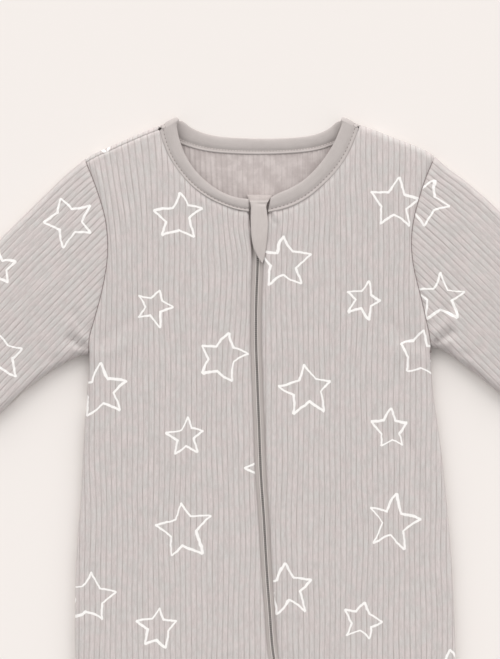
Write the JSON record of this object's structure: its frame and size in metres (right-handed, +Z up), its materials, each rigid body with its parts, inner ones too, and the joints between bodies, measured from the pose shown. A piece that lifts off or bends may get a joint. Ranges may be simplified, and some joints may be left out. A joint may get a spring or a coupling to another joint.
{
  "type": "footed baby sleepsuit",
  "caption": "Footed ribbed-knit baby sleepsuit with long sleeves, laid flat on its back, with a zip from the neckband to one ankle and a leaf-shaped zip guard.",
  "frame": {"origin": "centre of the bounding box's lower face, on the surface that the garment lies on", "axes": "+Z up from the surface, +Y from the feet to the neck, +X to the viewer's right from above"},
  "size_m": [0.578, 0.64, 0.0088],
  "materials": {
    "ribbed_knit": "soft matt cotton rib knit, warm light grey with white outline stars",
    "plain_jersey": "soft matt plain cotton jersey",
    "zip_tape": "matt woven polyester tape",
    "zip_teeth": "satin nylon coil",
    "slider_metal": "satin grey enamel"
  },
  "bodies": {
    "root": {"back": "ribbed_knit", "front_left": "ribbed_knit", "front_right": "ribbed_knit", "sleeve_left": "ribbed_knit", "sleeve_right": "ribbed_knit", "neckband": "plain_jersey", "zip_guard": "plain_jersey", "sole_left": "plain_jersey", "sole_right": "plain_jersey", "zip_tape_left": "zip_tape", "zip_tape_right": "zip_tape", "zip_chain": "zip_teeth", "zip_bottom_stop": "slider_metal", "zip_slider": "slider_metal", "zip_pull": "slider_metal"}
  },
  "joints": []
}
